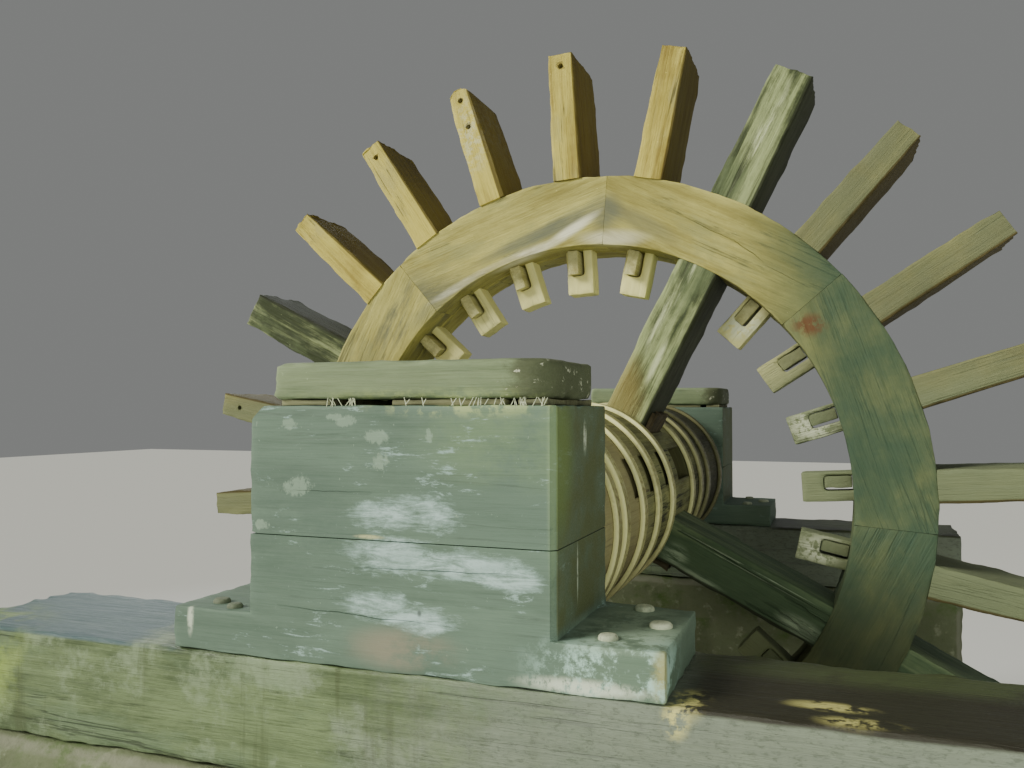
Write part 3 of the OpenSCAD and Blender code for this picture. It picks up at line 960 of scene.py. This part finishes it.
def about_axle(place):
    # The turn that carries a piece from the top of the wheel to one of its 24 places.
    turn = Matrix.Rotation(turn_at_rest + place * pitch, 4, "Y")
    return Matrix.Translation(wheel_axis) @ turn @ Matrix.Translation(-wheel_axis)


def outward(place):
    return (about_axle(place).to_3x3() @ Vector((0, 0, 1))).normalized()


def mortise(piece, place, low, high):
    # Chops a square mortise, given as a box at the top of the wheel and turned to its place.
    cutter = block("mortise", low, high)
    cutter.data.transform(about_axle(place))
    cut_with(piece, cutter)


def darker_low(wood, top, bottom, colour, amount):
    # Darkens the wood and the iron towards the bottom.
    wood.coat(colour, wood.span(wood.at("Z"), top, bottom, 0, amount))


axle_wood = oak(
    "axle oak", (0.33, 0.33, 0.13), (0.085, 0.085, 0.030), (0.17, 0.185, 0.075), gloss=0.35, checks=0.9
)
near_wood = axle_wood.share(axle_wood.streak, 0.5, axle_wood.at("Y"))
axle_wood.coat((0.38, 0.33, 0.16), axle_wood.span(near_wood, -0.15, -0.45, 0, 0.65))
darker_low(axle_wood, 1.62, 1.36, (0.045, 0.030, 0.014), 0.8)
# Painted shade: the axle grows darker towards its far end.
axle_wood.coat((0.012, 0.012, 0.006), axle_wood.span(axle_wood.at("Y"), 0.0, 0.65, 0, 0.8))
axle_finish = axle_wood.done(0.6, 0.004)
cylinder(168, axle_radius, 2 * axle_half, wheel_axis)
axle = settled("axle_log")
dress(axle, (9.0, 0.021, 9.0), rounding=0.012)
age(axle, along((0, 1, 0), wheel_axis), (0.008, 0.002, 0.0012), seed=51)
for place in arm_places[:2]:
    mortise(axle, place, (-arm_hole[0], -arm_hole[1], 0.6), (*arm_hole, 2.7))
for place in arm_places:
    mortise(axle, place, wedge_hole_low, wedge_hole_high)
for start, end in empty_mortises:
    mortise(axle, empty_place, (-empty_half, start, empty_floor), (empty_half, end, 2.05))
finish_with(axle, axle_finish, "wheel")
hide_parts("axle")


# Hoops
# Forged iron hoops were shrunk on hot to stop the axle from splitting. Rust has turned them
# a brassy brown, and their edges are lightened with a painted highlight.
hoop_places = {
    "near_hoops": (-0.187, -0.427, -0.637, -0.852, -0.942),
    "far_hoops": (0.223, 0.433, 0.633, 0.996),
}
hoop_inside = 0.3053
hoop_outside = 0.319
hoop_wide = 0.046
hoop_bright = 0.0165

hoop_iron = iron("hoop iron with painted highlight", (0.50, 0.48, 0.20), (0.28, 0.26, 0.10), (0.16, 0.12, 0.045), 0.0)
# Painted highlight: pale brass bands along both edges of each hoop, broken up by noise.
hoop_highlight_breakup = hoop_iron.noise(hoop_iron.place(), (5, 40, 5), detail=6, rough=0.7)
hoop_highlight = hoop_iron.span(hoop_iron.own("worn"), 0.25, 0.85)
hoop_iron.coat((0.84, 0.82, 0.40), hoop_highlight, hoop_iron.span(hoop_highlight_breakup, 0.30, 0.55, 0.35, 1), 0.9)
darker_low(hoop_iron, 1.52, 1.34, (0.11, 0.08, 0.04), 0.6)
# Painted shade: the hoops grow darker towards the far end of the axle.
hoop_iron.coat((0.03, 0.028, 0.012), hoop_iron.span(hoop_iron.at("Y"), 0.0, 0.65, 0, 0.75))
hoop_finish = hoop_iron.done(0.25, 0.001)

for node, places in hoop_places.items():
    hoops = []
    for y in places:
        cylinder(144, hoop_outside, hoop_wide, (0, y, wheel_axis.z), ends="NOTHING")
        hoop = settled("hoop")
        thick = hoop.modifiers.new("thickness", "SOLIDIFY")
        thick.thickness = hoop_outside - hoop_inside
        thick.offset = -1
        apply_modifier(hoop, thick)
        eased = hoop.modifiers.new("eased edges", "BEVEL")
        eased.width = 0.004
        eased.segments = 2
        eased.limit_method = "ANGLE"
        apply_modifier(hoop, eased)
        bpy.ops.object.shade_smooth_by_angle(angle=math.radians(40))
        for line in (-hoop_bright, hoop_bright):
            bisect(hoop, (0, y + line, 0), (0, 1, 0))
        leave_edit()
        # Marks the bands at both edges of each hoop for the painted highlight.
        paint(hoop, "worn", abs(points(hoop)[:, 1] - y) > hoop_bright + 0.001)
        hoops.append(hoop)
    hoops = joined(hoops, node + "_iron")
    finish_with(hoops, hoop_finish, "wheel")
    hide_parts(node)


# Arms and wedges
# Two squared oak beams cross in the axle, and their four ends are let into the rim and
# carry on as float boards. Oak wedges tighten them in the axle.
rim_outside = 1.1
rim_inside = 0.862
tip_reach = 1.55
shoulder = 0.003
arm_thick = 0.146
arm_tip = 0.134
arm_wide = 0.27
neck_wide = 0.15
housing = 0.02
arm_front = -0.135
arm_depths = (0.008, 0.002, 0.0006)


def at_top(radius):
    return wheel_axis.z + radius


def plank(name, thick, wide, inner, outer):
    # A squared timber at the top of the wheel, from one radius to another.
    return block(name, (-thick / 2, -wide / 2, at_top(inner)), (thick / 2, wide / 2, at_top(outer)))


def placed(master, name, place):
    # A copy of a piece, turned from the top of the wheel to its place.
    copy = copied(master)
    copy.matrix_world = about_axle(place)
    pick(copy)
    return settled(name)


def tapered(name, thick, tip, wide):
    # The part of a board outside the rim. Its outer end is sawn a little thinner than its root.
    piece = plank(name, thick, wide, rim_outside - shoulder, tip_reach)
    for corner in piece.data.vertices:
        if corner.co.z > at_top(rim_outside):
            corner.co.x *= tip / thick
    return piece


def in_rim(place):
    # True for the edges that the rim hides, which stay as sawn.
    return place.z < at_top(rim_outside)


def mark_shaded_side(piece, half):
    # Marks a board's right-hand side, which turns away from the light, so that painted shade can be laid on
    # it.
    paint(piece, "lee", points(piece)[:, 0] > half * 0.9)


def paint_side_shade(wood, colour, amount):
    # Paints shade on the side that is marked by darkening its colour.
    wood.coat(colour, wood.span(wood.own("lee"), 0.2, 0.8, 0, amount))


def damp_and_shaded_side(wood, start, end, colour, amount):
    # The right of the wheel stands in spray and is damper and greener, and its darkening there is partly
    # painted shade.
    patchy = wood.noise(wood.place(), 4, detail=6, rough=0.65)
    side = wood.span(wood.at("X"), start, end, 0, amount)
    wood.coat(colour, side, wood.span(patchy, 0.2, 0.65, 0.74, 1))


def on_arm(place, across_arm, radius, y=arm_front):
    # A spot on the front of an arm.
    return about_axle(place) @ Vector((across_arm, y, at_top(radius)))


arm_wood = oak(
    "arm oak", (0.32, 0.37, 0.17), (0.036, 0.048, 0.016), (0.12, 0.155, 0.070), gloss=0.35, span=0.065
)
darker_low(arm_wood, 1.75, 1.45, (0.055, 0.098, 0.050), 0.75)
pale_streak = arm_wood.noise(arm_wood.own("grain", "Vector"), (5, 40, 40), detail=8, rough=0.75)
for place, colour, thin, full, rubs in (
    (8, (0.42, 0.50, 0.34), 0.40, 0.56, (
        (0.56, -0.052, (0.0035, 0.02, 0.30), 0.9),
        (0.60, -0.040, (0.0025, 0.02, 0.24), 0.6),
        (0.36, 0.030, (0.05, 0.03, 0.06), 0.5),
        (0.46, 0.060, (0.02, 0.03, 0.12), 0.5),
        (0.80, 0.035, (0.04, 0.03, 0.10), 0.7),
    )),
    (2, (0.62, 0.67, 0.40), 0.42, 0.60, (
        (0.80, -0.01, (0.010, 0.03, 0.12), 0.8),
        (0.66, -0.035, (0.020, 0.03, 0.18), 0.8),
        (0.52, 0.020, (0.018, 0.03, 0.12), 0.8),
        (1.34, 0.000, (0.030, 0.03, 0.22), 0.8),
    )),
):
    for radius, across_arm, reach, amount in rubs:
        spot = arm_wood.near(on_arm(place, across_arm, radius), reach, turn_at_rest + place * pitch)
        arm_wood.coat(colour, spot, arm_wood.span(pale_streak, thin, full, 0, amount))
arm_wood.coat((0.30, 0.23, 0.06), arm_wood.near((0.12, -0.13, 1.98), (0.12, 0.1, 0.22)), 0.55)
# Painted shade on the right-hand sides of the arms.
paint_side_shade(arm_wood, (0.018, 0.022, 0.008), 0.92)
arm_finish = arm_wood.done(0.8, 0.004)

beam = plank("arm_beam", arm_thick, arm_wide, -rim_inside - housing, rim_inside + housing)
dress(beam, (0.011, 0.013, 0.0178), rounding=0.005)
mark_shaded_side(beam, arm_thick / 2)
neck = plank("arm_neck", arm_thick, neck_wide, rim_inside, rim_outside)
mark_edges(neck, [Vector((0, 0, 0))], 0.001)
blade = tapered("arm_blade", arm_thick, arm_tip, arm_wide)
dress(blade, (0.010, 0.010, 0.014), rounding=0.005, spare=in_rim)
mark_shaded_side(blade, arm_tip / 2)

for node, place, tones in (("rising_arm", 2, (0.55, 0.42)), ("falling_arm", 8, (0.40, 0.28))):
    arm = [placed(beam, node + "_beam", place)]
    age(arm[0], along(outward(place), wheel_axis), arm_depths, seed=61 + place, tone=tones[0])
    for end, tone in ((place, tones[0]), (place + 12, tones[1])):
        for master in (neck, blade):
            part = placed(master, node + "_end", end)
            age(part, along(outward(end), wheel_axis), arm_depths, seed=63 + end, tone=tone)
            arm.append(part)
    if node == "falling_arm":
        for number, (low, high, x_low, x_high) in enumerate((
            (0.68, 0.90, 0.020, 0.045),
            (0.72, 0.90, -0.030, -0.018),
            (0.62, 0.88, 0.050, 0.058),
            (0.34, 0.90, -0.048, -0.044),
        )):
            start = on_arm(place, x_low, low, -0.1345)
            crack(arm[0], start, on_arm(place, x_high, high, -0.1345), 0.003, 0.03, 20 + number)
    arm = joined(arm, node + "_beam")
    finish_with(arm, arm_finish, "wheel")
    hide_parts(node)
for master in (beam, neck, blade):
    bpy.data.objects.remove(master)

wedge_inner = 0.0735
wedge_outer = 0.0993
wedge_thin = 0.0863
wedge_wood = oak("wedge oak", (0.10, 0.075, 0.034), (0.022, 0.016, 0.007), (0.06, 0.052, 0.026))
wedge_finish = wedge_wood.done(0.8, 0.004)
wedge_blank = block("wedge", (wedge_inner, -0.1, at_top(0.182)), (wedge_outer, 0.1, at_top(0.357)))
for corner in wedge_blank.data.vertices:
    if corner.co.z < at_top(0.2) and corner.co.x > 0.09:
        corner.co.x = wedge_thin
dress(wedge_blank, (0.012, 0.008, 0.010), rounding=0.002, reach=0.012)
wedges = []
for place in arm_places:
    wedge = placed(wedge_blank, "wedge", place)
    age(wedge, along(outward(place), wheel_axis), (0.016, 0.001, 0.0016), seed=71 + place)
    wedges.append(wedge)
wedges = joined(wedges, "arm_wedge_set")
finish_with(wedges, wedge_finish, "wheel")
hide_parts("arm_wedges")
bpy.data.objects.remove(wedge_blank)


# Rim
# Sixteen felloes, sawn to the curve from straight planks, make the rim in two layers with
# staggered butt joints. The grain of each runs straight across its curve.
layer_thick = 0.14
joint_open = 0.0007
rim_middle = (rim_outside + rim_inside) / 2
felloe_places = 3
clearance = 0.002


def felloe(name, first, y_low):
    # Spins the plank's squared section round the axle from one butt joint to the next.
    bpy.ops.object.select_all(action="DESELECT")
    middle = (0, y_low + layer_thick / 2, at_top(rim_middle))
    bpy.ops.mesh.primitive_plane_add(size=1, location=middle, rotation=(0, math.radians(90), 0))
    bpy.context.object.scale = (rim_outside - rim_inside, layer_thick, 1)
    piece = settled(name)
    bpy.ops.object.mode_set(mode="EDIT")
    bpy.ops.mesh.select_all(action="SELECT")
    bpy.ops.mesh.bevel(offset=0.004, segments=2, affect="VERTICES")
    select_edges(piece, lambda a, b: (b - a).length > 0.1 and abs((b - a).z) > 0.1)
    bpy.ops.mesh.subdivide(number_cuts=25)
    select_edges(piece, lambda a, b: (b - a).length > 0.1)
    bpy.ops.mesh.subdivide(number_cuts=12)
    bpy.ops.mesh.select_all(action="SELECT")
    angle = -math.radians(45) + joint_open / rim_middle
    bpy.ops.mesh.spin(steps=58, angle=angle, center=wheel_axis, axis=(0, 1, 0))
    bpy.ops.mesh.select_all(action="SELECT")
    bpy.ops.mesh.normals_make_consistent(inside=False)
    leave_edit()
    piece.data.transform(about_axle(first))
    edges = []
    for step in range(140):
        turn = about_axle(first + felloe_places * step / 139)
        for radius in (rim_inside, rim_outside):
            for y in (y_low, y_low + layer_thick):
                edges.append(turn @ Vector((0, y, at_top(radius))))
    mark_edges(piece, edges, 0.018)
    return piece


def rim_oak():
    wood = oak(
        "rim oak", (0.56, 0.52, 0.165), (0.27, 0.235, 0.06), (0.30, 0.30, 0.12),
        grime=0.4, checks=0.45, span=0.14,
    )
    flow = wood.noise(wood.own("grain", "Vector"), (1.6, 9, 9), detail=8, rough=0.7, shift=(4, 4, 4))

    def smear(colour, low, high, least, x, z, wide, tall, turn, amount):
        spot = wood.near((x, -layer_thick, z), (wide, 0.1, tall), turn)
        wood.coat(colour, spot, wood.span(flow, low, high, least, amount))

    left = wood.near((-0.62, -0.14, 2.25), (0.42, 0.2, 0.22))
    wood.coat((0.15, 0.155, 0.09), left, wood.span(flow, 0.46, 0.60))
    for spot in (
        (0.075, 2.590, 0.085, 0.085, 0.0, 0.80),
        (-0.08, 2.560, 0.24, 0.040, -0.42, 0.75),
        (-0.20, 2.520, 0.30, 0.030, -0.38, 0.65),
        (0.21, 2.540, 0.20, 0.045, 0.55, 0.45),
        (-0.58, 2.290, 0.16, 0.050, -0.70, 0.55),
    ):
        smear((0.125, 0.140, 0.105), 0.30, 0.50, 0.3, *spot)
    for spot in (
        (-0.05, 2.535, 0.15, 0.026, -0.52, 0.85),
        (-0.24, 2.455, 0.19, 0.026, -0.33, 0.95),
        (-0.46, 2.370, 0.18, 0.020, -0.46, 0.75),
        (0.10, 2.500, 0.16, 0.040, 0.05, 0.50),
    ):
        smear((0.88, 0.86, 0.66), 0.62, 0.44, 0.25, *spot)
    # Damp right side of the rim, darkened partly with painted shade.
    damp_and_shaded_side(wood, 0.42, 0.84, (0.036, 0.076, 0.048), 0.96)
    darker_low(wood, 1.55, 1.15, (0.035, 0.042, 0.018), 0.6)
    rust = wood.span(wood.noise(wood.place(), 20, detail=6, rough=0.7), 0.42, 0.55)
    wood.coat((0.13, 0.045, 0.018), wood.near((0.735, -0.14, 2.18), (0.07, 0.05, 0.05)), rust, 0.85)
    return wood.done(0.8, 0.004)


rim_finish = rim_oak()
for node, first, y_low in (
    ("front_felloes_a", 0.5, -layer_thick),
    ("front_felloes_b", 3.5, -layer_thick),
    ("back_felloes_a", 1.5, 0.0),
    ("back_felloes_b", 4.5, 0.0),
):
    felloes = []
    for number in range(4):
        start = first + 2 * felloe_places * number
        part = felloe(node + "_timber", start, y_low)
        radial = outward(start + felloe_places / 2)
        chord = Vector((radial.z, 0, -radial.x))
        seed = 81 + number + round(first * 8)
        half = (arm_thick / 2 + clearance, arm_wide / 2 + clearance)
        for place in arm_places:
            if start < place < start + felloe_places:
                low = (-half[0], -half[1], at_top(0.8))
                mortise(part, place, low, (*half, at_top(rim_inside + housing + clearance)))
        if node == "front_felloes_a" and number == 0:
            crack(part, (0.33, -0.139, 2.564), (0.53, -0.139, 2.447), 0.0016, 0.03, 16)
            crack(part, (0.50, -0.139, 2.470), (0.60, -0.139, 2.385), 0.0022, 0.03, 22)
            crack(part, (0.585, -0.139, 2.388), (0.756, -0.139, 2.287), 0.0014, 0.03, 14)
        grain = along(chord, wheel_axis + radial * rim_middle)
        age(part, grain, (0.005, 0.0015, 0.0004), seed=seed, tone=0.38 + seed % 5 * 0.06)
        felloes.append(part)
    felloes = joined(felloes, node + "_timber")
    finish_with(felloes, rim_finish, "wheel")
    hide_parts(node)


# Float boards
# Twenty thick oak boards stand out from the rim, each with a tenon through it that is keyed
# on the inside. They are the oldest wood of the wheel, with rounded and rotten ends.
float_root = 0.104
float_tip = 0.092
float_wide = 0.290
tenon_thick = 0.096
tenon_wide = 0.084
tail_reach = 0.706
slot_long = 0.088
slot_wide = 0.048
slot_side = 0.010
tip_long = 0.13
quarters = ("right", "bottom", "left", "top")
rounded = (23, 11, 15)
rotten = {23: 0.008, 21: 0.014, 22: 0.012, 6: 0.018, 11: 0.010, 15: 0.010}
board_tones = {0: 0.60, 23: 0.78, 22: 0.78, 21: 0.66, 1: 0.52, 3: 0.40, 4: 0.30}
bolt_holes = {0: (1.501,), 23: (1.500, 1.393), 22: (1.494,), 19: (1.465,)}

float_wood = oak(
    "float oak", (0.62, 0.53, 0.12), (0.26, 0.19, 0.035), (0.42, 0.38, 0.14), grime=0.5, span=0.11
)
float_wood.coat((0.90, 0.87, 0.42), float_wood.own("pale"), 0.72)
# Damp right side of the boards, darkened partly with painted shade.
damp_and_shaded_side(float_wood, 0.25, 0.80, (0.12, 0.140, 0.078), 0.90)
darker_low(float_wood, 2.10, 1.90, (0.16, 0.19, 0.105), 0.85)
flakes = float_wood.noise(float_wood.place(), 45, detail=6, rough=0.7)
for place in (5, 7, 3):
    tail_face = wheel_axis + outward(place) * 0.775 + Vector((0, -0.045, 0))
    flaked = float_wood.near(tail_face, (0.10, 0.03, 0.07))
    float_wood.coat((0.55, 0.58, 0.42), flaked, float_wood.span(flakes, 0.42, 0.52), 0.85)
mould = float_wood.near(wheel_axis + outward(23) * 1.36, (0.12, 0.3, 0.26))
float_wood.coat((0.66, 0.66, 0.42), mould, float_wood.span(flakes, 0.46, 0.56), 0.8)
# Painted shade on the right-hand sides of the boards.
paint_side_shade(float_wood, (0.055, 0.036, 0.004), 0.85)
float_finish = float_wood.done(0.8, 0.004)

board_blank = tapered("board", float_root, float_tip, float_wide)
dress(board_blank, (0.010, 0.010, 0.014), reach=0.018, spare=in_rim)
mark_shaded_side(board_blank, float_tip / 2)
rounded_blank = tapered("board", float_root, float_tip, float_wide)
bevel_edges(
    rounded_blank, lambda a, b: min(a.z, b.z) > at_top(tip_reach) - 0.001 and abs((a - b).y) > 0.1, 0.036, 5
)
dress(rounded_blank, 0.008, rounding=0.003, reach=0.03, spare=in_rim)
mark_shaded_side(rounded_blank, 0.04)
for blank in (board_blank, rounded_blank):
    tip = blank.vertex_groups.new(name="tip")
    for corner in blank.data.vertices:
        share = (corner.co.z - at_top(tip_reach - tip_long)) / tip_long
        if share > 0:
            tip.add([corner.index], share, "REPLACE")

tail_blank = plank("tail", tenon_thick, tenon_wide, tail_reach, rim_outside - 0.02)
slot_low = (-slot_wide / 2 - slot_side, -0.1, at_top(rim_inside - slot_long))
slot_high = (slot_wide / 2 - slot_side, 0.1, at_top(rim_inside + 0.006))
cut_with(tail_blank, block("slot", slot_low, slot_high))
dress(tail_blank, 0.0065, rounding=0.003, reach=0.014)
paint(tail_blank, "pale", np.ones(len(tail_blank.data.vertices)))


def board_places(quarter):
    # The five places of the float boards between two arms.
    return [(arm_places[quarter] + step) % places_round for step in range(1, 6)]


for quarter, name in enumerate(quarters):
    boards = []
    for place in board_places(quarter):
        tone = board_tones.get(place, 0.35 + place * 7 % 5 * 0.07)
        board = placed(rounded_blank if place in rounded else board_blank, "float_board", place)
        grain = along(outward(place), wheel_axis)
        wear(board, 0.09, rotten.get(place, 0.006), grain, 1.2, "tip", 1.0, place + 3)
        chips = 0.005 if place in rounded else 0.007
        age(board, grain, (chips, 0.0016, 0.0006), seed=101 + place, tone=tone)
        for reach in bolt_holes.get(place, ()):
            drill(board, 0.009, -0.2, -0.11, wheel_axis + outward(place) * reach)
        tail = placed(tail_blank, "float_tail", place)
        age(tail, grain, (0.004, 0.001, 0.0003), seed=131 + place, tone=tone + 0.35)
        boards += [board, tail]
    boards = joined(boards, "float_boards_" + name)
    finish_with(boards, float_finish, "wheel")
    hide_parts("floats_" + name)
for blank in (board_blank, rounded_blank, tail_blank):
    bpy.data.objects.remove(blank)


# Keys
# A tapered oak key is driven through the tail of each float board and pulls its shoulders
# down on the rim. Those on the right are driven home, the others stand proud.
key_thick = 0.038
key_proud = 0.034
key_drive = 0.040
key_fall = 0.006
key_fit = 0.0003
key_high = 0.8605

key_wood = oak("key oak", (0.74, 0.70, 0.34), (0.36, 0.32, 0.12), (0.50, 0.48, 0.24), grime=0.4, checks=0.0)
# Damp right side of the keys, darkened partly with painted shade.
damp_and_shaded_side(key_wood, 0.25, 0.75, (0.12, 0.140, 0.078), 0.90)
darker_low(key_wood, 2.10, 1.90, (0.14, 0.165, 0.09), 0.85)
key_finish = key_wood.done(0.8, 0.003)


def key_blank(home):
    front = -tenon_wide / 2 - key_proud + home
    back = tenon_wide / 2 + 0.004 + home / 2
    left = -slot_wide / 2 - slot_side + key_fit
    low = at_top(rim_inside - slot_long + key_fit)
    piece = block("key", (left, front, low), (left + key_thick, back, at_top(key_high)))
    for corner in piece.data.vertices:
        if corner.co.y > 0 and corner.co.z < at_top(0.8):
            corner.co.z += key_fall
    dress(piece, (0.007, 0.009, 0.007), rounding=0.0015, reach=0.008)
    return piece


blanks = {False: key_blank(0.0), True: key_blank(key_drive)}
for quarter, name in enumerate(quarters):
    keys = []
    for place in board_places(quarter):
        key = placed(blanks[2 < place < 12], "float_key", place)
        grain = along((0, 1, 0), wheel_axis + outward(place) * 0.8)
        age(key, grain, (0.004, 0.001, 0.0003), seed=141 + place, tone=0.4 + place % 3 * 0.1)
        keys.append(key)
    keys = joined(keys, "float_keys_" + name)
    finish_with(keys, key_finish, "wheel")
    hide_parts("keys_" + name)
for blank in blanks.values():
    bpy.data.objects.remove(blank)
